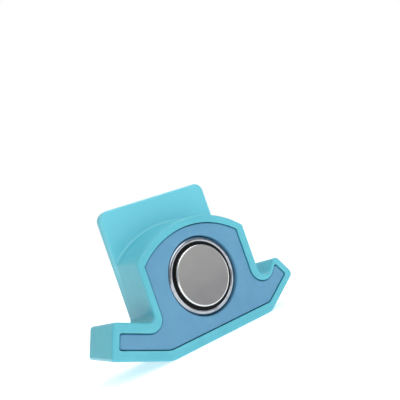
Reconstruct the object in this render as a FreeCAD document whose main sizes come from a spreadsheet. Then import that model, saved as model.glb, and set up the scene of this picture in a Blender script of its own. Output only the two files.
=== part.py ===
import FreeCAD, Part
import math
import os

import Sketcher

# Magnetic seam guide for a sewing machine, in millimetres.
#
# A hollow moulded block stands on its long straight guide edge, with +Z up. A round pot magnet looks out
# of its flat front face, towards -Y, and holds the block to a steel bed. Two swept arms run off to the
# sides, and behind the domed top a flat thumb plate stands up, to lift the guide off the bed.
#
# Every piece is drawn in one local frame: its origin is where the magnet's axis meets the front face, X runs
# to the right as seen from the front, Z up, and Y back through the block. The placement then puts the middle
# of the guide's footprint at the row's origin.

DOC = FreeCAD.newDocument("seam_guide")

DIMENSIONS = {
    # overall
    "block_depth": 14.65,         # front face to back face
    "magnet_height": 15.8,        # magnet axis above the guide edge
    "half_width": 16.7,           # magnet axis to either flank
    "thumb_height": 23.6,         # magnet axis to the thumb plate's top edge
    "thumb_thick": 3.2,           # thumb plate
    # guide edge and arms
    "guide_left": 15.9,           # magnet axis to the guide edge's left end
    "guide_right": 16.6,          # magnet axis to the guide edge's right end
    "left_arm_length": 15.65,
    "left_arm_angle": 22.6,       # degrees above the guide edge
    "left_arm_width": 8.7,
    "right_arm_length": 13.1,
    "right_arm_angle": 32.2,
    "right_arm_width": 7.8,       # at its end
    "right_arm_top_angle": 47.0,  # its upper edge drops faster, so the arm has a waist above the guide edge
    # dome
    "shoulder_height": 8.3,       # where the dome leaves the flanks
    "dome_rise": 6.65,            # dome's crown above its shoulders
    # mould drafts, in degrees
    "side_draft": 1.6,
    "dome_draft": 3.0,
    # rounded corners of the outline
    "heel_radius": 7.0,           # left end of the guide edge
    "toe_radius": 3.4,            # right end of the guide edge
    "left_tip_radius": 0.8,       # end of the left arm
    "right_tip_radius": 1.4,      # end of the right arm
    "left_root_radius": 1.4,      # inside corner where the left arm leaves its flank
    "right_root_radius": 2.2,     # the same on the right, a deep notch
    "plate_radius": 2.5,          # top corners of the thumb plate
    "crown_fillet": 0.8,          # foot of the dome on the thumb plate
    "back_fillet": 0.7,
    "front_fillet": 0.5,
    "base_spare": 1.0,            # moulded below the guide edge, then cut away square
    # shell
    "rim_wall": 2.4,              # along the guide edge, the left arm's sides and the right flank
    "rim_dome": 1.9,              # along the dome, and at the right arm's end and underside
    "rim_end": 1.65,              # at the left flank and the left arm's end
    "notch_wall": 0.8,            # under the right arm's notch
    "back_wall": 2.0,
    "cover_thick": 1.6,
    "cover_gap": 0.16,
    "cover_sink": 0.15,           # cover face behind the rim
    "cover_edge": 0.45,
    "cover_tip": 0.8,             # its corners at the arms' ends
    # magnet
    "cup_radius": 10.0,
    "cup_height": 6.0,
    "cup_wall": 1.4,
    "cup_floor": 1.6,
    "cup_sink": 0.75,             # cup rim behind the front face
    "cup_edge": 0.35,
    "cup_roll": 0.95,             # the lip's outer edge is rolled over
    "cup_gap": 0.1,               # round the cup, in its well
    "disc_proud": 0.55,           # disc face in front of the cup rim
    "disc_edge": 0.4,
    "resin_width": 0.8,           # filled ring between magnet and cup
    "resin_sink": 0.35,           # its face behind the cup rim
    "glue_thick": 0.2,
    "glue_inset": 0.5,
    "well_wall": 1.5,
    "well_shelf": 3.0,            # how far the shelf reaches in under the cup
    # press pins and their sockets
    "socket_radius": 2.0,
    "pin_radius": 1.2,
    "pin_length": 4.5,
    "pin_gap": 0.05,
    "pin_space": 0.5,             # left under each pin
    "pin_tip": 0.3,
    "rib_thick": 1.2,
    "rib_drop": 1.5,              # rib tops below the cover
    "upper_pin_inset": 4.1,       # from the block's flanks to the two upper pins
    "upper_pin_height": 7.2,
    "arm_pin_inset": 5.0,         # from each arm's end to its socket
}


def make_sheet():
    sheet = DOC.addObject("Spreadsheet::Sheet", "dims")
    for row, (name, number) in enumerate(DIMENSIONS.items(), start=1):
        sheet.set("A%d" % row, name)
        sheet.set("B%d" % row, str(number))
        sheet.setAlias("B%d" % row, name)
    DOC.recompute()
    return sheet


SHEET = make_sheet()


def value(expression):
    return float(SHEET.evalExpression(expression))


def cosine(alias):
    return "cos(dims.%s * 1deg)" % alias


def sine(alias):
    return "sin(dims.%s * 1deg)" % alias


def shifted(start, *steps):
    """The expression start plus each (length, direction) step."""
    return start + "".join(" + (%s) * (%s)" % step for step in steps)


# Walls of the rim round the front face, by the edge of the outline that each one lies along.
RIM = {
    "base": "rim_wall",
    "left_low": "rim_wall",
    "left_end": "rim_end",
    "left_high": "rim_wall",
    "left_flank": "rim_end",
    "dome": "rim_dome",
    "right_flank": "rim_wall",
    "right_high": "notch_wall",
    "right_end": "rim_dome",
    "right_low": "rim_dome",
}


def even_insets(inset, base_inset):
    """Every edge of the outline moved in by inset, and the guide edge up by base_inset."""
    return dict(dict.fromkeys(RIM, inset), base=base_inset)


def rim_insets(gap):
    """Every edge moved in by the rim's wall and a gap."""
    return {edge: "(dims.%s + %s)" % (wall, gap) for edge, wall in RIM.items()}


def outline_corners(insets):
    """The corners of the outline below its dome, as pairs of expressions in the local frame."""
    left_cos, left_sin = cosine("left_arm_angle"), sine("left_arm_angle")
    right_cos, right_sin = cosine("right_arm_angle"), sine("right_arm_angle")
    base = shifted("-dims.magnet_height", (insets["base"], "1"))
    left_flank = "(%s - dims.half_width)" % insets["left_flank"]
    right_flank = "(dims.half_width - %s)" % insets["right_flank"]

    left_reach = "dims.left_arm_length - (%s)" % insets["left_end"]
    left_low = (
        shifted("-dims.guide_left", (left_reach, "-" + left_cos), (insets["left_low"], left_sin)),
        shifted("-dims.magnet_height", (left_reach, left_sin), (insets["left_low"], left_cos)),
    )
    left_width = "dims.left_arm_width - (%s) - (%s)" % (insets["left_low"], insets["left_high"])
    left_high = (
        shifted(left_low[0], (left_width, left_sin)),
        shifted(left_low[1], (left_width, left_cos)),
    )
    heel = ("(%s) + ((%s) - (%s)) * %s / %s" % (left_low[0], left_low[1], base, left_cos, left_sin), base)

    right_reach = "dims.right_arm_length - (%s)" % insets["right_end"]
    right_low = (
        shifted("dims.guide_right", (right_reach, right_cos), (insets["right_low"], "-" + right_sin)),
        shifted("-dims.magnet_height", (right_reach, right_sin), (insets["right_low"], right_cos)),
    )
    # How far the right arm's upper edge comes down its end, when both are moved in.
    swing = "((dims.right_arm_angle - dims.right_arm_top_angle) * 1deg)"
    drop = "((%s) - (%s) * sin(%s)) / cos(%s)" % (insets["right_high"], insets["right_end"], swing, swing)
    right_width = "dims.right_arm_width - (%s) - %s" % (insets["right_low"], drop)
    right_high = (
        shifted(right_low[0], (right_width, "-" + right_sin)),
        shifted(right_low[1], (right_width, right_cos)),
    )
    toe = ("(%s) - ((%s) - (%s)) * %s / %s" % (right_low[0], right_low[1], base, right_cos, right_sin), base)
    return {
        "heel": heel,
        "toe": toe,
        "right_low": right_low,
        "right_high": right_high,
        "right_root": (right_flank, arm_top("right", right_high, right_flank)),
        "left_root": (left_flank, arm_top("left", left_high, left_flank)),
        "left_high": left_high,
        "left_low": left_low,
    }


TOP_ANGLES = {"left": "left_arm_angle", "right": "right_arm_top_angle"}
OUTWARDS = {"left": "-1", "right": "1"}


def arm_top(side, high, across):
    """Height of an arm's upper edge, through its corner high, at the sideways place across."""
    slope = "tan(dims.%s * 1deg)" % TOP_ANGLES[side]
    return "(%s) - ((%s) - (%s)) * %s * %s" % (high[1], high[0], across, OUTWARDS[side], slope)


def root_arc(side, corners, radius):
    """Ends of the arc that joins a flank to its arm's upper edge: on the flank, then on the arm."""
    flank = corners[side + "_root"][0]
    centre = shifted(flank, (radius, OUTWARDS[side]))
    angle = TOP_ANGLES[side]
    rise = "(%s) / %s" % (radius, cosine(angle))
    height = "(%s) + %s" % (arm_top(side, corners[side + "_high"], centre), rise)
    on_arm = (
        shifted(centre, (radius, OUTWARDS[side] + " * " + sine(angle))),
        shifted(height, (radius, "-" + cosine(angle))),
    )
    return (flank, height), on_arm


def block_outline(insets, top):
    """The block's corners, counter-clockwise from the guide edge's left end, closed at the height top."""
    corners = outline_corners(insets)
    below = [corners[name] for name in ("heel", "toe", "right_low", "right_high", "right_root")]
    above = [(corners[name][0], top) for name in ("right_root", "left_root")]
    return below + above + [corners[name] for name in ("left_root", "left_high", "left_low")]


DOME_RADIUS = "((dims.half_width ^ 2 + dims.dome_rise ^ 2) / (2 * dims.dome_rise))"
DOME_CENTRE = "(dims.shoulder_height + dims.dome_rise - " + DOME_RADIUS + ")"


def shoulder(dome_radius, flank):
    """The point where a dome of this radius meets a flank."""
    return flank, "%s + sqrt(%s ^ 2 - (%s) ^ 2)" % (DOME_CENTRE, dome_radius, flank)


# The whole guide's middle stands over the origin, so the magnet's axis is a little to one side of it.
CORNERS = outline_corners(even_insets("0", "0"))
MAGNET_SIDE = "-((%s) + (%s)) / 2" % (CORNERS["left_low"][0], CORNERS["right_low"][0])


# Depths behind the front face.
COVER_BACK = "(dims.cover_sink + dims.cover_thick)"
PLATE_FRONT = "(dims.block_depth - dims.thumb_thick)"
HOLLOW_DEPTH = "(dims.block_depth - dims.back_wall)"
CUP_BACK = "(dims.cup_sink + dims.cup_height)"
CUP_FLOOR = "(dims.cup_sink + dims.cup_height - dims.cup_floor)"
DISC_RADIUS = "(dims.cup_radius - dims.cup_wall - dims.resin_width)"
SEAT_DEPTH = "(dims.cup_sink + dims.cup_height + dims.glue_thick)"


def arm_pin(corner, angle, width, side):
    """A point on an arm's middle line; side is -1 for the left arm's lower corner and 1 for the right's."""
    half_width = "dims.%s / 2" % width
    towards = "%d * dims.arm_pin_inset" % -side
    across = shifted(corner[0], (towards, cosine(angle)), (half_width, "%d * %s" % (-side, sine(angle))))
    up = shifted(corner[1], ("dims.arm_pin_inset", "-" + sine(angle)), (half_width, cosine(angle)))
    return across, up


UPPER_PIN_SIDE = "dims.half_width - dims.upper_pin_inset"
PINS = {
    "upper_left": ("-(%s)" % UPPER_PIN_SIDE, "dims.upper_pin_height"),
    "upper_right": (UPPER_PIN_SIDE, "dims.upper_pin_height"),
    "left_arm": arm_pin(CORNERS["left_low"], "left_arm_angle", "left_arm_width", -1),
    "right_arm": arm_pin(CORNERS["right_low"], "right_arm_angle", "right_arm_width", 1),
}


def new_body(name):
    body = DOC.addObject("PartDesign::Body", name)
    body.Label = name
    body.setExpression("Placement.Base.x", MAGNET_SIDE)
    body.setExpression("Placement.Base.y", "-dims.block_depth / 2")
    body.setExpression("Placement.Base.z", "dims.magnet_height")
    return body


def plane(body, role):
    return next(item for item in body.Origin.OriginFeatures if item.Role == role)


def new_sketch(body, name, setback=None, role="XZ_Plane"):
    """A sketch seen from the front; setback is how far behind the front face it lies."""
    sketch = body.newObject("Sketcher::SketchObject", name)
    sketch.AttachmentSupport = [(plane(body, role), "")]
    sketch.MapMode = "FlatFace"
    if setback:
        sketch.setExpression("AttachmentOffset.Base.z", "-(" + setback + ")")
    return sketch


def bind(sketch, kind, *geometry, size):
    number = sketch.addConstraint(Sketcher.Constraint(kind, *geometry, value(size)))
    sketch.setExpression("Constraints[%d]" % number, size)


def draw_outline(sketch, corners, arcs=None):
    """Lines from corner to corner, counter-clockwise.

    Where arcs has a corner's number, an arc leaves it instead: its radius, then 1 to bulge out or -1 in.
    """
    arcs = arcs or {}
    points = [FreeCAD.Vector(value(across), value(up), 0) for across, up in corners]
    count = len(points)
    for index, start in enumerate(points):
        finish = points[(index + 1) % count]
        if index in arcs:
            radius, bulge = value(arcs[index][0]), arcs[index][1]
            chord = finish - start
            outward = FreeCAD.Vector(chord.y, -chord.x, 0).normalize()
            drop = math.sqrt(radius ** 2 - (chord.Length / 2) ** 2)
            crown = (start + finish) / 2 + outward * bulge * (radius - drop)
            sketch.addGeometry(Part.Arc(start, crown, finish), False)
        else:
            sketch.addGeometry(Part.LineSegment(start, finish), False)
    for index, (across, up) in enumerate(corners):
        ends = join_ends(index, count, arcs)
        sketch.addConstraint(Sketcher.Constraint("Coincident", *ends))
        bind(sketch, "DistanceX", *ends[2:], size=across)
        bind(sketch, "DistanceY", *ends[2:], size=up)
    for index, (radius, _) in arcs.items():
        bind(sketch, "Radius", index, size=radius)


def join_ends(index, count, arcs):
    """The last end of the line or arc before a corner, and the first end of the one after it.

    A sketch's arcs always run counter-clockwise, so one that bulges in has its ends the other way round.
    """
    before = (index - 1) % count
    turned_before = before in arcs and arcs[before][1] < 0
    turned_after = index in arcs and arcs[index][1] < 0
    return before, 1 if turned_before else 2, index, 2 if turned_after else 1


def draw_circle(sketch, radius, across="0", up="0"):
    centre = FreeCAD.Vector(value(across), value(up), 0)
    circle = Part.Circle(centre, FreeCAD.Vector(0, 0, 1), value(radius))
    number = sketch.addGeometry(circle, False)
    bind(sketch, "Radius", number, size=radius)
    bind(sketch, "DistanceX", number, 3, size=across)
    bind(sketch, "DistanceY", number, 3, size=up)


def changed(body, name, before, sign):
    """Refuse a feature that failed, or that didn't add (+1) or take away (-1) material."""
    DOC.recompute()
    if (body.Shape.Volume - before) * sign <= 0:
        raise RuntimeError(name + " changed nothing")


def extrude(body, kind, name, sketch, length, backwards, taper=None):
    """A PartDesign Pad or Pocket of a sketch; backwards goes away from the front face."""
    before = body.Shape.Volume if body.Tip else 0.0
    feature = body.newObject("PartDesign::" + kind, name)
    feature.Profile = sketch
    feature.Reversed = backwards if kind == "Pad" else not backwards
    feature.setExpression("Length", length)
    if taper:
        feature.setExpression("TaperAngle", taper)
    changed(body, name, before, 1 if kind == "Pad" else -1)


def dress(body, kind, name, edges, size):
    """A PartDesign Fillet or Chamfer on the named edges of the body's last feature."""
    feature = body.newObject("PartDesign::" + kind, name)
    feature.Base = (feature.BaseFeature, edges)
    feature.setExpression("Radius" if kind == "Fillet" else "Size", size)
    DOC.recompute()
    if "Invalid" in feature.State or not feature.Shape.isValid():
        raise RuntimeError(name + " failed")


def find_edges(body, wanted):
    """Names of the edges of the body's last feature for which wanted(edge) is true."""
    edges = body.Tip.Shape.Edges
    names = ["Edge%d" % number for number, edge in enumerate(edges, start=1) if wanted(edge)]
    if not names:
        raise RuntimeError("no such edge on " + body.Label)
    return names


def near_corner(corner, reach=1.5):
    """A test for edges that run back from a corner of an outline, given as a pair of expressions."""
    across, up = value(corner[0]), value(corner[1])

    def wanted(edge):
        run = edge.Vertexes[-1].Point - edge.Vertexes[0].Point
        runs_back = run.Length > 0.5 and abs(run.y) > 0.95 * run.Length
        return runs_back and any(math.hypot(v.X - across, v.Z - up) < reach for v in edge.Vertexes)

    return wanted


def at_depth(depth):
    """A test for edges that lie in the plane at this depth behind the front face."""
    level = value(depth)
    return lambda edge: all(abs(point.y - level) < 1e-3 for point in edge.discretize(5))


def round_corner(body, name, corner, radius):
    dress(body, "Fillet", name, find_edges(body, near_corner(corner)), radius)


def make_block(body):
    """The solid block: its outline shrinks towards the back, but its guide edge is cut square."""
    spare = "-dims.base_spare"
    lost = "dims.block_depth * tan(dims.side_draft * 1deg)"
    front = new_sketch(body, "block_front")
    draw_outline(front, block_outline(even_insets("0", spare), "dims.thumb_height"))
    back = new_sketch(body, "block_back", setback="dims.block_depth")
    draw_outline(back, block_outline(even_insets(lost, spare), "dims.thumb_height - " + lost))
    block = body.newObject("PartDesign::AdditiveLoft", "block")
    block.Profile = front
    block.Sections = [back]
    block.Ruled = True
    changed(body, "block", 0.0, 1)

    left, right = "-(dims.guide_left + dims.heel_radius)", "dims.guide_right + dims.heel_radius"
    low, high = "-(dims.magnet_height + 2 * dims.base_spare)", "-dims.magnet_height"
    below = new_sketch(body, "below_guide_edge")
    draw_outline(below, [(left, low), (right, low), (right, high), (left, high)])
    extrude(body, "Pocket", "guide_edge_cut", below, "dims.block_depth", True)


def cut_dome(body):
    """Clear the space over the dome, down to the thumb plate; the dome widens towards the plate."""
    side = "dims.half_width + dims.dome_rise / 4"
    foot = shoulder(DOME_RADIUS, side)[1]
    top = "dims.thumb_height * 1.1"
    sketch = new_sketch(body, "dome_space")
    corners = [("-(" + side + ")", foot), (side, foot), (side, top), ("-(" + side + ")", top)]
    draw_outline(sketch, corners, {0: (DOME_RADIUS, -1)})
    extrude(body, "Pocket", "dome_cut", sketch, PLATE_FRONT, True, "-dims.dome_draft")


def round_block(body):
    """Corners first, then the front and back edges that run round them."""
    radii = {
        "heel": "heel_radius",
        "toe": "toe_radius",
        "right_low": "right_tip_radius",
        "right_high": "right_tip_radius",
        "left_high": "left_tip_radius",
        "left_low": "left_tip_radius",
        "right_root": "right_root_radius",
        "left_root": "left_root_radius",
    }
    for name, radius in radii.items():
        round_corner(body, name + "_round", CORNERS[name], "dims." + radius)
    for name in ("right_root", "left_root"):
        top_corner = (CORNERS[name][0], "dims.thumb_height")
        round_corner(body, name + "_plate_round", top_corner, "dims.plate_radius")

    on_plate = at_depth(PLATE_FRONT)

    def is_crown(edge):
        return on_plate(edge) and "Circle" in edge.Curve.TypeId

    outer = find_edges(body, lambda edge: on_plate(edge) and not is_crown(edge))
    dress(body, "Fillet", "plate_edge", outer, "dims.front_fillet")
    dress(body, "Fillet", "crown_foot", find_edges(body, is_crown), "dims.crown_fillet")
    dress(body, "Fillet", "back_edge", find_edges(body, at_depth("dims.block_depth")), "dims.back_fillet")
    dress(body, "Fillet", "front_edge", find_edges(body, at_depth("0")), "dims.front_fillet")


def draw_face_outline(sketch, gap):
    """The front face inside its rim, less a gap; returns its corners."""
    insets = rim_insets(gap)
    corners = outline_corners(insets)
    dome_radius = "(%s - %s)" % (DOME_RADIUS, insets["dome"])
    roots = {"left": "(dims.left_root_radius + dims.rim_end + %s)" % gap,
             "right": "(dims.right_root_radius + 2 * dims.notch_wall + %s)" % gap}
    right_flank_end, right_arm_start = root_arc("right", corners, roots["right"])
    left_flank_end, left_arm_start = root_arc("left", corners, roots["left"])
    outline = [corners["heel"], corners["toe"], corners["right_low"], corners["right_high"]]
    outline += [right_arm_start, right_flank_end, shoulder(dome_radius, corners["right_root"][0])]
    outline += [shoulder(dome_radius, corners["left_root"][0]), left_flank_end, left_arm_start]
    outline += [corners["left_high"], corners["left_low"]]
    draw_outline(sketch, outline, {4: (roots["right"], -1), 6: (dome_radius, 1), 8: (roots["left"], -1)})
    return corners


def round_face_outline(body, name, corners, gap):
    """Round the corners of the face outline at the arms' ends and at the guide edge's ends."""
    tip = "dims.cover_tip - dims.cover_gap + " + gap
    for corner in ("right_low", "right_high", "left_high", "left_low"):
        round_corner(body, name + "_" + corner, corners[corner], tip)
    round_corner(body, name + "_heel", corners["heel"], "dims.heel_radius - dims.rim_wall - " + gap)
    round_corner(body, name + "_toe", corners["toe"], "dims.toe_radius - dims.rim_dome - " + gap)


def hollow_block(body):
    """The space inside, open to the front, with the rim's walls round it."""
    sketch = new_sketch(body, "hollow_outline")
    corners = draw_face_outline(sketch, "0")
    extrude(body, "Pocket", "hollow", sketch, HOLLOW_DEPTH, True)
    round_face_outline(body, "hollow", corners, "0")


def add_well(body):
    """A ring wall that holds the magnet's cup, with a shelf under it."""
    wall = new_sketch(body, "well_outline", HOLLOW_DEPTH)
    draw_circle(wall, "dims.cup_radius + dims.cup_gap + dims.well_wall")
    draw_circle(wall, "dims.cup_radius - dims.well_shelf")
    extrude(body, "Pad", "well", wall, HOLLOW_DEPTH + " - " + COVER_BACK, False)
    bore = new_sketch(body, "cup_seat_outline", COVER_BACK)
    draw_circle(bore, "dims.cup_radius + dims.cup_gap")
    extrude(body, "Pocket", "cup_seat", bore, SEAT_DEPTH + " - " + COVER_BACK, True)


def add_rib(body, name, side):
    """A thin wall along an arm's middle line, from its socket down to the guide edge's wall."""
    pin, angle = PINS[name], name + "_angle"
    along_across, along_up = "%d * %s" % (-side, cosine(angle)), "-" + sine(angle)
    reach = "((%s) + dims.magnet_height - dims.rim_wall / 2) / %s" % (pin[1], sine(angle))
    start = "dims.socket_radius - dims.pin_gap"
    half = "dims.rib_thick / 2"
    corners = []
    for along, aside in [(start, "-" + half), (reach, "-" + half), (reach, half), (start, half)]:
        across = shifted(pin[0], (along, along_across), (aside, "-(" + along_up + ")"))
        up = shifted(pin[1], (along, along_up), (aside, along_across))
        corners.append((across, up))
    sketch = new_sketch(body, name + "_rib_outline", HOLLOW_DEPTH)
    draw_outline(sketch, corners)
    height = HOLLOW_DEPTH + " - " + COVER_BACK + " - dims.rib_drop"
    extrude(body, "Pad", name + "_rib", sketch, height, False)


def add_sockets(body):
    """Posts with blind holes that the cover's pins press into."""
    for name, pin in PINS.items():
        post = new_sketch(body, name + "_post_outline", HOLLOW_DEPTH)
        draw_circle(post, "dims.socket_radius", *pin)
        extrude(body, "Pad", name + "_post", post, HOLLOW_DEPTH + " - " + COVER_BACK, False)
        hole = new_sketch(body, name + "_hole_outline", COVER_BACK)
        draw_circle(hole, "dims.pin_radius + dims.pin_gap", *pin)
        extrude(body, "Pocket", name + "_hole", hole, "dims.pin_length + dims.pin_space", True)
    add_rib(body, "left_arm", -1)
    add_rib(body, "right_arm", 1)


def make_shell():
    body = new_body("body_shell")
    make_block(body)
    cut_dome(body)
    round_block(body)
    hollow_block(body)
    add_well(body)
    add_sockets(body)
    return body


def make_cover():
    """A plate that closes the front inside the rim, with a round window for the magnet and four pins."""
    body = new_body("face_cover")
    sketch = new_sketch(body, "cover_outline", "dims.cover_sink")
    corners = draw_face_outline(sketch, "dims.cover_gap")
    extrude(body, "Pad", "plate", sketch, "dims.cover_thick", True)
    round_face_outline(body, "cover", corners, "dims.cover_gap")
    window = new_sketch(body, "window_outline", "dims.cover_sink")
    draw_circle(window, "dims.cup_radius + dims.cup_gap")
    extrude(body, "Pocket", "window", window, "dims.cover_thick", True)
    dress(body, "Fillet", "cover_edge", find_edges(body, at_depth("dims.cover_sink")), "dims.cover_edge")
    for name, pin in PINS.items():
        shank = new_sketch(body, name + "_pin_outline", COVER_BACK)
        draw_circle(shank, "dims.pin_radius", *pin)
        extrude(body, "Pad", name + "_pin", shank, "dims.pin_length", True)
    ends = find_edges(body, at_depth(COVER_BACK + " + dims.pin_length"))
    dress(body, "Chamfer", "pin_tips", ends, "dims.pin_tip")
    return body


def turned(name, corners):
    """A body turned about the magnet's axis; corners are pairs of depth and radius expressions."""
    body = new_body(name)
    sketch = new_sketch(body, name + "_section", role="YZ_Plane")
    draw_outline(sketch, corners)
    feature = body.newObject("PartDesign::Revolution", name + "_turned")
    feature.Profile = sketch
    feature.ReferenceAxis = (plane(body, "Y_Axis"), [""])
    feature.Angle = 360
    changed(body, name, 0.0, 1)
    return body


def make_cup():
    """The steel cup: an open front, a floor behind, and a lip that is rolled over outwards."""
    inner = "dims.cup_radius - dims.cup_wall"
    body = turned("magnet_cup", [
        ("dims.cup_sink", inner),
        ("dims.cup_sink", "dims.cup_radius"),
        (CUP_BACK, "dims.cup_radius"),
        (CUP_BACK, "0"),
        (CUP_FLOOR, "0"),
        (CUP_FLOOR, inner),
    ])
    on_lip = at_depth("dims.cup_sink")
    middle = value("dims.cup_radius - dims.cup_wall / 2")
    lip_inside = find_edges(body, lambda edge: on_lip(edge) and edge.Curve.Radius < middle)
    dress(body, "Fillet", "cup_lip", lip_inside, "dims.cup_edge")
    lip_outside = find_edges(body, lambda edge: on_lip(edge) and edge.Curve.Radius > middle)
    dress(body, "Fillet", "cup_roll", lip_outside, "dims.cup_roll")
    dress(body, "Fillet", "cup_heel", find_edges(body, at_depth(CUP_BACK)), "dims.cup_edge")
    return body


def make_disc():
    """The magnet, with a rounded front edge."""
    face = "(dims.cup_sink - dims.disc_proud)"
    body = turned("disc_magnet", [
        (face, "0"),
        (face, DISC_RADIUS),
        (CUP_FLOOR, DISC_RADIUS),
        (CUP_FLOOR, "0"),
    ])
    dress(body, "Fillet", "disc_edge", find_edges(body, at_depth(face)), "dims.disc_edge")
    return body


def make_resin():
    """The dark filling between magnet and cup."""
    inner = "dims.cup_radius - dims.cup_wall"
    front = "dims.cup_sink + dims.resin_sink"
    return turned("resin_ring", [
        (front, DISC_RADIUS),
        (front, inner),
        (CUP_FLOOR, inner),
        (CUP_FLOOR, DISC_RADIUS),
    ])


def make_glue():
    """The adhesive pad that fixes the cup to its shelf."""
    return turned("adhesive_pad", [
        (CUP_BACK, "0"),
        (CUP_BACK, "dims.cup_radius - dims.glue_inset"),
        (SEAT_DEPTH, "dims.cup_radius - dims.glue_inset"),
        (SEAT_DEPTH, "0"),
    ])


def check_document():
    """Every object must have recomputed, and every piece must be one valid solid."""
    for item in DOC.Objects:
        if "Invalid" in item.State or "Error" in item.State:
            raise RuntimeError(item.Label + " failed")
    for body in PIECES:
        if body.Shape.isNull() or not body.Shape.isValid() or len(body.Shape.Solids) != 1:
            raise RuntimeError(body.Label + " is not one valid solid")


PIECES = [make_shell(), make_cover(), make_cup(), make_disc(), make_resin(), make_glue()]
DOC.recompute()
check_document()
os.makedirs("parts", exist_ok=True)
for piece in PIECES:
    piece.Shape.exportStep("parts/" + piece.Label + ".step")
    print(piece.Label, round(piece.Shape.Volume, 1), "mm3")
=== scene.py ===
# %% [markdown]
# # A magnetic seam guide
# A seam guide is a small moulded block that a magnet holds to the bed of a sewing machine, so that fabric
# can be fed along its straight edge. This lesson gives the block its plastic, its magnet its plating, and
# lights it as for a catalogue. The shapes come from the engineering model, which is loaded as a fixed
# frame: nothing here moves or resizes it.

# %% Load the frame
import math

import bmesh
import bpy
from mathutils import Matrix, Vector


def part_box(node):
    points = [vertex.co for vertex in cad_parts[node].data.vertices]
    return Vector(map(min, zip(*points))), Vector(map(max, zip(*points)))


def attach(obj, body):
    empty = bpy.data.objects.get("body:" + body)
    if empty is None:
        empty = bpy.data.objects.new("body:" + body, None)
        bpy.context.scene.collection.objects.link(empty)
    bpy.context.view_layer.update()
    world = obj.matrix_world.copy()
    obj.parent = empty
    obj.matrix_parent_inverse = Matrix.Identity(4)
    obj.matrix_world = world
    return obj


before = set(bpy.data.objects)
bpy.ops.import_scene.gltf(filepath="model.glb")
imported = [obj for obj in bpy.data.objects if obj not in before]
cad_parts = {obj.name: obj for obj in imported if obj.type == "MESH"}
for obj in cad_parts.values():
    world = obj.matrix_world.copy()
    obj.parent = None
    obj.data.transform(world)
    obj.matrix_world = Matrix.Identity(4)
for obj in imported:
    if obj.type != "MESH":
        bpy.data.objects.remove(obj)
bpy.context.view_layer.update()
MM = 0.001
print("nodes:", sorted(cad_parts))

# %% [markdown]
# ## Landmarks
# A finish that changes with the place, and a lamp that faces the magnet, both need to know where things
# are. The frame gives a box for every node, so these points are read from it and nothing is typed in twice.
# Only the thickness of the thumb plate is given here, because the plate is a part of the shell and has no
# box of its own.

# %% Landmarks, all taken from the frame
shell_low, shell_high = (Vector(corner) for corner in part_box("body_shell"))
disc_low, disc_high = (Vector(corner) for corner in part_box("disc_magnet"))
disc_radius = (disc_high.x - disc_low.x) / 2
magnet = Vector(((disc_low.x + disc_high.x) / 2, shell_low.y, (disc_low.z + disc_high.z) / 2))
PLATE_THICKNESS = 3.2 * MM
plate_front = shell_high.y - PLATE_THICKNESS
print("magnet's axis meets the front face at", [round(v / MM, 2) for v in magnet], "mm")

# %% [markdown]
# ## The camera
# A small thing is looked at from close by, so its near arm seems bigger than its far one. That depends on
# the camera's distance alone, and the lens only crops. So the distance is set first, about two and a half
# times the guide's length, and the lens is then chosen to frame it. The camera is rolled, so that the guide
# leans, and looks at a point a little above the magnet.

# %% Camera
CAMERA_SIDE = math.radians(-34.79)      # round to the long arm's side
CAMERA_TILT = math.radians(-1.50)       # it looks very slightly upwards
CAMERA_ROLL = math.radians(19.35)
CAMERA_DISTANCE = 151.1 * MM
LENS = 54.66                            # on the usual 36 mm wide sensor
AIM = magnet + Vector((3.97, -3.33, 17.96)) * MM

towards_camera = Vector((
    math.sin(CAMERA_SIDE) * math.cos(CAMERA_TILT),
    -math.cos(CAMERA_SIDE) * math.cos(CAMERA_TILT),
    math.sin(CAMERA_TILT),
))
camera = bpy.data.objects.new("camera", bpy.data.cameras.new("camera"))
bpy.context.scene.collection.objects.link(camera)
camera.data.lens = LENS
camera.data.clip_start = 0.01
camera.data.clip_end = 20
upright = towards_camera.to_track_quat("Z", "Y").to_matrix().to_4x4()
rolled = upright @ Matrix.Rotation(-CAMERA_ROLL, 4, "Z")
camera.matrix_world = Matrix.Translation(AIM + towards_camera * CAMERA_DISTANCE) @ rolled
bpy.context.scene.camera = camera
print("camera at", [round(v / MM, 1) for v in camera.matrix_world.translation], "mm")

# %% [markdown]
# ## Shader sums in Python
# A finish is a graph of nodes, and most of its nodes only add and multiply. One small class wraps a socket
# and overloads the operators, so a sum on sockets is written as a sum and adds its own Math nodes. Python
# asks the right-hand side when the left is a plain number, so each operator also has a reflected form.

# %% A socket that can be added and multiplied


class Socket:
    """An output socket of a finish's node graph, for use in Python sums."""

    def __init__(self, finish, socket):
        self.finish = finish
        self.socket = socket

    def sum(self, operation, first, second):
        return self.finish.add("ShaderNodeMath", {"operation": operation}, {0: first, 1: second})[0]

    def __add__(self, other):
        return self.sum("ADD", self, other)

    def __radd__(self, other):
        return self.sum("ADD", other, self)

    def __sub__(self, other):
        return self.sum("SUBTRACT", self, other)

    def __rsub__(self, other):
        return self.sum("SUBTRACT", other, self)

    def __mul__(self, other):
        return self.sum("MULTIPLY", self, other)

    def __rmul__(self, other):
        return self.sum("MULTIPLY", other, self)

    def __pow__(self, other):
        return self.sum("POWER", self, other)

    def __rpow__(self, other):
        return self.sum("POWER", other, self)


# %% A finish, which is a material with one shader


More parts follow.
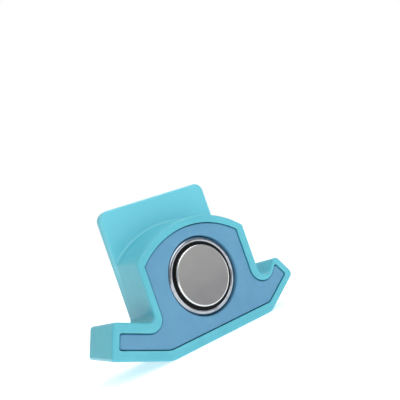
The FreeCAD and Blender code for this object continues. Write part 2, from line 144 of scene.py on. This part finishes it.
class Finish:
    """A material with one Principled shader, whose nodes are added by add()."""

    def __init__(self, name, **constants):
        self.material = bpy.data.materials.new(name)
        self.material.use_nodes = True
        self.nodes = self.material.node_tree.nodes
        self.links = self.material.node_tree.links
        self.shader = self.nodes["Principled BSDF"]
        for socket, number in constants.items():
            self.shader.inputs[socket.replace("_", " ")].default_value = number

    def plug(self, value, socket):
        if isinstance(value, Socket):
            self.links.new(value.socket, socket)
        else:
            socket.default_value = value

    def add(self, kind, settings=None, inputs=None):
        """One node: its settings first, then the values or links of its sockets. Returns its outputs."""
        node = self.nodes.new(kind)
        for setting, choice in (settings or {}).items():
            setattr(node, setting, choice)
        for name, value in (inputs or {}).items():
            self.plug(value, node.inputs[name])
        return [Socket(self, socket) for socket in node.outputs]

    def drive(self, socket, value):
        self.plug(value, self.shader.inputs[socket])

    def place(self):
        """Object coordinates, which are metres in the guide's own frame."""
        return self.add("ShaderNodeTexCoord")[3]

    def axes(self):
        """The three Object coordinates, each on its own."""
        return self.add("ShaderNodeSeparateXYZ", {}, {"Vector": self.place()})

    def noise(self, size, detail=2.0, roughness=0.5, place=None):
        """Soft noise from 0 to 1, whose blotches are about size metres across."""
        place = place or self.place()
        inputs = {"Vector": place, "Scale": 1 / size, "Detail": detail, "Roughness": roughness}
        return self.add("ShaderNodeTexNoise", {}, inputs)[0]

    def ramp(self, value, low, high):
        """0 where value is at low and 1 where it is at high, clamped, with soft ends."""
        settings = {"interpolation_type": "SMOOTHSTEP"}
        inputs = {"Value": value, "From Min": low, "From Max": high}
        return self.add("ShaderNodeMapRange", settings, inputs)[0]

    def mix(self, factor, first, second):
        """A colour between two colours. A Mix node takes colours at sockets 6 and 7 and gives one at 2."""
        return self.add("ShaderNodeMix", {"data_type": "RGBA"}, {0: factor, 6: first, 7: second})[2]

    def bump(self, height, depth):
        """A normal for a surface whose height runs from 0 to 1 over depth metres."""
        return self.add("ShaderNodeBump", {}, {"Height": height, "Distance": depth, "Strength": 1.0})[0]


# %% [markdown]
# ## The moulded plastic
# The shell and its cover are injection mouldings in a soft, slightly see-through plastic. Light goes a
# millimetre or so into it, which fills its shadows with its own colour, so it gets a little subsurface
# scattering. The mould leaves a very fine grain, the plastic's colour drifts a little where it flowed, and
# handling polishes some places and dulls others. All of that is noise on Object coordinates at the right
# size.
#
# The front of the thumb plate looks paler than the block, as light thrown up from the dome's top and light
# from behind through the thin plate fall on it. The scattering alone shows little of that under soft light.
# So that light is
# painted into the colour: it turns paler there, between the front and the back of the plate and above the
# block's shoulders.

# %% Plastic


def colour(red, green, blue):
    """A shader colour from the 0 to 255 numbers that colour pickers show, by the sRGB curve."""
    linear = [((c / 255 + 0.055) / 1.055) ** 2.4 if c > 10 else c / 255 / 12.92 for c in (red, green, blue)]
    return (*linear, 1.0)


def on_plate_front(finish):
    """1 on the front of the thumb plate and 0 on the block and the back, with soft ends."""
    _, depth, height = finish.axes()
    behind = finish.ramp(depth, plate_front - 0.6 * MM, plate_front)
    before = finish.ramp(depth, shell_high.y - 0.3 * MM, plate_front + 0.5 * MM)
    above = finish.ramp(height, magnet.z + 2 * MM, magnet.z + 9 * MM)
    return behind * before * above


def moulded_plastic(name, light, deep, roughness, painted_plate_light=None):
    """A satin moulding between two close shades of one colour. The plate's front may get a third, paler
    colour, which is painted light.
    """
    finish = Finish(name, IOR=1.49, Subsurface_Weight=0.12, Subsurface_Scale=1.2 * MM, Specular_IOR_Level=0.4)
    finish.shader.inputs["Subsurface Radius"].default_value = (0.6, 1.0, 1.2)
    flow = finish.noise(9 * MM, detail=3)
    cloud = finish.noise(2.5 * MM, detail=4)
    drift = finish.ramp(flow * 0.7 + cloud * 0.3, 0.3, 0.7)
    body = finish.mix(drift, light, deep)
    # painted light: the front of the thumb plate is given a paler colour
    if painted_plate_light:
        body = finish.mix(on_plate_front(finish), body, painted_plate_light)
    finish.drive("Base Color", body)
    handled = finish.ramp(finish.noise(6 * MM, detail=5, roughness=0.6), 0.35, 0.75)
    grain = finish.noise(0.12 * MM, detail=1)
    finish.drive("Roughness", roughness + handled * 0.08 + grain * 0.04)
    finish.drive("Normal", finish.bump(grain, 0.004 * MM))
    return finish.material


# The third colour is painted light on the front of the thumb plate.
shell_plastic = moulded_plastic(
    "turquoise_plastic", colour(103, 199, 215), colour(94, 190, 207), 0.26, painted_plate_light=colour(119, 214, 231)
)
cover_plastic = moulded_plastic("sky_blue_plastic", colour(101, 161, 196), colour(94, 153, 189), 0.30)
print("plastics:", shell_plastic.name, cover_plastic.name)

# %% [markdown]
# ## The plated metal
# The magnet is sintered powder, so even under its nickel it is a little rough, with faint blotches. Its face
# has painted shade, darker towards the bottom. Its rounded edge is rubbed smooth, and its whiter colour there
# is a painted highlight. The cup is pressed steel under the same plating, and much shinier. Its turned look
# comes from noise stretched round the magnet's axis: the noise is read at the distance from that axis, so it
# only changes with the radius.

# %% Plating


def radius_from_axis(finish):
    """Distance from the magnet's axis, in metres."""
    across, _, height = finish.axes()
    side, up = across - magnet.x, height - magnet.z
    return (side * side + up * up) ** 0.5


def rings(finish, pitch):
    """Fine circles round the magnet's axis, as noise that only changes with the radius."""
    radius = radius_from_axis(finish)
    place = finish.add("ShaderNodeCombineXYZ", {}, {"X": radius})[0]
    return finish.noise(pitch, detail=3, place=place)


def satin_nickel():
    """Plating on the magnet: dull, with painted shade that darkens its face downwards, and a painted
    highlight, a whiter colour, on its rubbed rounded edge.
    """
    finish = Finish("satin_nickel", Metallic=1.0)
    cloud = finish.noise(3 * MM, detail=5, roughness=0.6)
    speck = finish.ramp(finish.noise(0.25 * MM, detail=2), 0.62, 0.75)
    _, _, height = finish.axes()
    # painted shade: the magnet's face is darker towards the bottom
    painted_shade_below = finish.ramp(height, magnet.z + 9 * MM, magnet.z - 9 * MM)
    face = finish.mix(cloud * 0.3 + painted_shade_below * 0.7, colour(168, 167, 166), colour(128, 128, 131))
    # rubbed edge: smoother, and a whiter colour there that is a painted highlight
    rubbed_edge_and_highlight = finish.ramp(radius_from_axis(finish), disc_radius - 0.55 * MM, disc_radius - 0.25 * MM)
    finish.drive("Base Color", finish.mix(rubbed_edge_and_highlight, face, colour(235, 234, 232)))
    finish.drive("Roughness", 0.34 + cloud * 0.08 + speck * 0.1 - rubbed_edge_and_highlight * 0.2)
    finish.drive("Normal", finish.bump(finish.noise(0.2 * MM, detail=3), 0.004 * MM))
    return finish.material


def bright_nickel():
    """Plating on the cup, with faint turning marks and a few stains."""
    finish = Finish("bright_nickel", Metallic=1.0)
    turned = rings(finish, 0.15 * MM)
    stain = finish.ramp(finish.noise(2 * MM, detail=5, roughness=0.65), 0.45, 0.8)
    finish.drive("Base Color", finish.mix(stain, colour(176, 181, 188), colour(142, 147, 154)))
    finish.drive("Roughness", 0.10 + turned * 0.06 + stain * 0.08)
    finish.drive("Normal", finish.bump(turned, 0.006 * MM))
    return finish.material


# %% [markdown]
# ## Resin and tape
# The resin between magnet and cup was poured, so it is nearly black, uneven and only slightly glossy. The
# tape behind the cup is out of sight, but a part that is taken apart should still look right.

# %% Resin and tape


def dark_resin():
    finish = Finish("dark_resin", Specular_IOR_Level=0.15)
    lumps = finish.noise(1.2 * MM, detail=3)
    finish.drive("Base Color", finish.mix(lumps, colour(3, 3, 4), colour(10, 10, 12)))
    finish.drive("Roughness", 0.3 + lumps * 0.2)
    finish.drive("Normal", finish.bump(lumps, 0.05 * MM))
    return finish.material


def foam_tape():
    finish = Finish("foam_tape", Roughness=0.9)
    cells = finish.noise(0.3 * MM, detail=2)
    finish.drive("Base Color", finish.mix(cells, colour(232, 230, 220), colour(206, 204, 192)))
    finish.drive("Normal", finish.bump(cells, 0.05 * MM))
    return finish.material


# %% [markdown]
# ## One finish for each node
# The nodes come from the engineering model with a plain material. Only the material is changed.

# %% Put each finish on its node
finishes = {
    "body_shell": shell_plastic,
    "face_cover": cover_plastic,
    "magnet_cup": bright_nickel(),
    "disc_magnet": satin_nickel(),
    "resin_ring": dark_resin(),
    "adhesive_pad": foam_tape(),
}
for node, material in finishes.items():
    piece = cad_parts[node]
    for slot in piece.material_slots:
        slot.material = material
    print(node, "->", material.name, len(piece.data.polygons), "faces")

# %% [markdown]
# ## Fine marks on the back
# The mould leaves two short rows of slanted strokes on the back, side by side and parallel to the guide
# edge. They are less than a tenth of a millimetre high, and show only when light rakes over them. A bump in
# the plastic's finish could draw them, but a raised stroke also shows in the mesh. One stroke is a line
# swept with a round profile, thinned towards its ends and pressed flat, so that it has no hard corner to
# catch the light. Geometry Nodes then copies it along a line, and the number of strokes, their pitch and
# their slant stay inputs that can be changed.

# %% Sizes of the marks
MARK_COUNT = 8
MARK_PITCH = 0.75 * MM
MARK_LENGTH = 2.4 * MM
MARK_WIDTH = 0.28 * MM
MARK_RELIEF = 0.07 * MM
MARK_SLANT = math.radians(-22)          # their tops lean towards the long arm
MARK_ROW_GAP = 1.2 * MM
MARK_HEIGHT = 6.2 * MM                  # above the guide edge
MARK_SIDE = magnet.x + 8.0 * MM         # middle of the two rows
MARK_SIDES = 12                         # sides of a stroke's profile
MARK_POINTS = 9                         # points along a stroke
MARK_TIP = 0.04                         # keeps a stroke's ends a little open
print("two rows of", MARK_COUNT, "strokes,", round(MARK_PITCH / MM, 2), "mm apart")

# %% A node tree that lays one row of strokes
row_tree = bpy.data.node_groups.new("mark_row", "GeometryNodeTree")
row_tree.interface.new_socket("Geometry", in_out="OUTPUT", socket_type="NodeSocketGeometry")
SIZES = {
    "Count": ("NodeSocketInt", MARK_COUNT),
    "Pitch": ("NodeSocketFloat", MARK_PITCH),
    "Length": ("NodeSocketFloat", MARK_LENGTH),
    "Width": ("NodeSocketFloat", MARK_WIDTH),
    "Flatness": ("NodeSocketFloat", 2 * MARK_RELIEF / MARK_WIDTH),
    "Slant": ("NodeSocketFloat", MARK_SLANT),
    "Start": ("NodeSocketVector", (0, 0, 0)),
}
size_ids = {}
for name, (kind, number) in SIZES.items():
    socket = row_tree.interface.new_socket(name, in_out="INPUT", socket_type=kind)
    size_ids[name] = socket.identifier
print("inputs of the row:", size_ids)


def tree_node(tree, kind, inputs, **settings):
    """One node of a tree, with its settings, and its inputs as numbers or as links. Returns its outputs."""
    node = tree.nodes.new(kind)
    for setting, choice in settings.items():
        setattr(node, setting, choice)
    for name, value in inputs.items():
        if isinstance(value, bpy.types.NodeSocket):
            tree.links.new(value, node.inputs[name])
        else:
            node.inputs[name].default_value = value
    return node.outputs


def row_node(kind, inputs, **settings):
    return tree_node(row_tree, kind, inputs, **settings)


def row_math(operation, first, second=0.0):
    return row_node("ShaderNodeMath", {0: first, 1: second}, operation=operation)[0]


# %% One stroke
given = row_node("NodeGroupInput", {})
half_length = row_math("MULTIPLY", given["Length"], 0.5)
lower_end = row_node("ShaderNodeCombineXYZ", {"Z": row_math("MULTIPLY", half_length, -1.0)})[0]
upper_end = row_node("ShaderNodeCombineXYZ", {"Z": half_length})[0]
line = row_node("GeometryNodeCurvePrimitiveLine", {"Start": lower_end, "End": upper_end})[0]
line = row_node("GeometryNodeResampleCurve", {"Curve": line, "Count": MARK_POINTS})[0]
along = row_node("GeometryNodeSplineParameter", {})["Factor"]
from_middle = row_math("ABSOLUTE", row_math("SUBTRACT", row_math("MULTIPLY", along, 2.0), 1.0))
thinned = row_math("SUBTRACT", 1.0 + MARK_TIP, row_math("POWER", from_middle, 4.0))
taper = row_math("SQRT", thinned)
line = row_node("GeometryNodeSetCurveRadius", {"Curve": line, "Radius": taper})[0]
half_width = row_math("MULTIPLY", given["Width"], 0.5)
profile = row_node("GeometryNodeCurvePrimitiveCircle", {"Resolution": MARK_SIDES, "Radius": half_width})[0]
radius = row_node("GeometryNodeInputRadius", {})[0]
stroke_inputs = {"Curve": line, "Profile Curve": profile, "Scale": radius, "Fill Caps": True}
stroke = row_node("GeometryNodeCurveToMesh", stroke_inputs)[0]
flat = row_node("ShaderNodeCombineXYZ", {"X": 1.0, "Y": given["Flatness"], "Z": 1.0})[0]
turn = row_node("ShaderNodeCombineXYZ", {"Y": given["Slant"]})[0]
stroke = row_node("GeometryNodeTransform", {"Geometry": stroke, "Scale": flat, "Rotation": turn})[0]
print("one stroke takes", len(row_tree.nodes), "nodes")

# %% A row of strokes
step = row_node("ShaderNodeCombineXYZ", {"X": given["Pitch"]})[0]
row_inputs = {"Count": given["Count"], "Start Location": given["Start"], "Offset": step}
row = row_node("GeometryNodeMeshLine", row_inputs)[0]
row = row_node("GeometryNodeInstanceOnPoints", {"Points": row, "Instance": stroke})[0]
row = row_node("GeometryNodeRealizeInstances", {"Geometry": row})[0]
row = row_node("GeometryNodeSetMaterial", {"Geometry": row, "Material": shell_plastic})[0]
row_node("NodeGroupOutput", {"Geometry": row})
print("the whole tree has", len(row_tree.nodes), "nodes")

# %% [markdown]
# The tree runs once for each row. Its result is kept as a plain mesh, and both rows are joined in one
# piece, which belongs to the guide's only body and shares the shell's material slot.

# %% Lay the rows and keep them as one mesh
row_length = (MARK_COUNT - 1) * MARK_PITCH
row_starts = (MARK_SIDE - MARK_ROW_GAP / 2 - row_length, MARK_SIDE + MARK_ROW_GAP / 2)
marks_mesh = bmesh.new()
for start in row_starts:
    seed = bpy.data.objects.new("row_seed", bpy.data.meshes.new("row_seed"))
    bpy.context.scene.collection.objects.link(seed)
    maker = seed.modifiers.new("row", "NODES")
    maker.node_group = row_tree
    for name, (_, number) in SIZES.items():
        maker[size_ids[name]] = number
    maker[size_ids["Start"]] = (start, shell_high.y, MARK_HEIGHT)
    ready = seed.evaluated_get(bpy.context.evaluated_depsgraph_get())
    row_mesh = bpy.data.meshes.new_from_object(ready)
    marks_mesh.from_mesh(row_mesh)
    seed.modifiers.remove(maker)
    bpy.data.objects.remove(seed)
bmesh.ops.recalc_face_normals(marks_mesh, faces=marks_mesh.faces)
kept_mesh = bpy.data.meshes.new("back_marks")
marks_mesh.to_mesh(kept_mesh)
marks_mesh.free()
kept_mesh.materials.append(shell_plastic)
kept_mesh.shade_smooth()
back_marks = bpy.data.objects.new("back_marks", kept_mesh)
bpy.context.scene.collection.objects.link(back_marks)
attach(back_marks, "root")
print("back marks:", 2 * MARK_COUNT, "strokes,", len(kept_mesh.polygons), "faces")

# %% [markdown]
# ## Floor
# A pale table. In a light tent the cloth under the object glows a little with the light that comes through
# it, so the floor gets a small emission besides its white, which keeps the shadow under the guide soft and
# pale.

# %% Floor
FLOOR_SIZE = 3.0                        # metres
FLOOR_WHITE = 0.85
half = FLOOR_SIZE / 2
floor_corners = [(-half, -half, 0), (half, -half, 0), (half, half, 0), (-half, half, 0)]
floor_mesh = bpy.data.meshes.new("floor")
floor_mesh.from_pydata(floor_corners, [], [(0, 1, 2, 3)])
floor = bpy.data.objects.new("floor", floor_mesh)
bpy.context.scene.collection.objects.link(floor)
cloth = Finish("floor_cloth", Roughness=0.9, Specular_IOR_Level=0.0, Emission_Strength=0.5)
cloth.shader.inputs["Base Color"].default_value = (FLOOR_WHITE, FLOOR_WHITE, FLOOR_WHITE, 1)
cloth.shader.inputs["Emission Color"].default_value = (1, 1, 1, 1)
floor.data.materials.append(cloth.material)
print("floor", FLOOR_SIZE, "m across")

# %% [markdown]
# ## The tent
# Metal shows nothing but what it reflects, so in an evenly white room it would vanish. The tent is
# therefore brighter behind the object and overhead, and darker in front, where the room is. The camera
# itself sees plain white wherever it looks past the object.

# %% World
TENT_FRONT = 0.32
TENT_BACK = 0.55
TENT_TOP = 0.35         # added overhead
world = bpy.data.worlds.new("tent")
bpy.context.scene.world = world
world.use_nodes = True
sky = world.node_tree
sky.nodes.clear()


def sky_node(kind, inputs, **settings):
    return tree_node(sky, kind, inputs, **settings)


def sky_ramp(value, low, high, dark, bright):
    """Brightness from dark at low to bright at high, with soft ends."""
    inputs = {"Value": value, "From Min": low, "From Max": high, "To Min": dark, "To Max": bright}
    return sky_node("ShaderNodeMapRange", inputs, interpolation_type="SMOOTHSTEP")[0]


direction = sky_node("ShaderNodeTexCoord", {})["Generated"]
split = sky_node("ShaderNodeSeparateXYZ", {"Vector": direction})
backdrop = sky_ramp(split["Y"], -0.5, 0.6, TENT_FRONT, TENT_BACK)
roof = sky_ramp(split["Z"], 0.2, 0.9, 0.0, TENT_TOP)
level = sky_node("ShaderNodeMath", {0: backdrop, 1: roof}, operation="ADD")[0]
seen = sky_node("ShaderNodeLightPath", {})["Is Camera Ray"]
tent = sky_node("ShaderNodeBackground", {"Color": (1, 1, 1, 1), "Strength": level})[0]
paper = sky_node("ShaderNodeBackground", {"Color": (1, 1, 1, 1), "Strength": 1.0})[0]
either = sky_node("ShaderNodeMixShader", {0: seen, 1: tent, 2: paper})[0]
sky_node("ShaderNodeOutputWorld", {"Surface": either})
print("tent from", TENT_FRONT, "in front to", TENT_BACK, "behind")

# %% [markdown]
# ## The lamps
# Two soft square lamps stand in the tent. The key lamp hangs above the front: it lights the two shades of
# the face and draws the bright crest on the cup's rolled lip. The edge lamp hangs high over the short arm's
# side and picks out the right of the dome. Each is given as a direction from the magnet, as the camera's
# was.

# %% Lamps


def softbox(name, side, tilt, distance, size, power):
    """A square lamp that faces the magnet from a direction given in degrees, as for the camera."""
    lamp = bpy.data.lights.new(name, "AREA")
    lamp.size = size
    lamp.energy = power
    holder = bpy.data.objects.new(name, lamp)
    bpy.context.scene.collection.objects.link(holder)
    turn, rise = math.radians(side), math.radians(tilt)
    away = Vector((math.sin(turn) * math.cos(rise), -math.cos(turn) * math.cos(rise), math.sin(rise)))
    facing = away.to_track_quat("Z", "Y").to_matrix().to_4x4()
    holder.matrix_world = Matrix.Translation(magnet + away * distance) @ facing


softbox("key", side=5, tilt=42, distance=0.6, size=0.45, power=1.0)
softbox("edge", side=90, tilt=60, distance=0.6, size=0.2, power=0.7)
print("stage set")

# %% [markdown]
# ## The last step
# The view transform is set to Standard.

# %% Set the view transform
bpy.context.scene.view_settings.view_transform = "Standard"
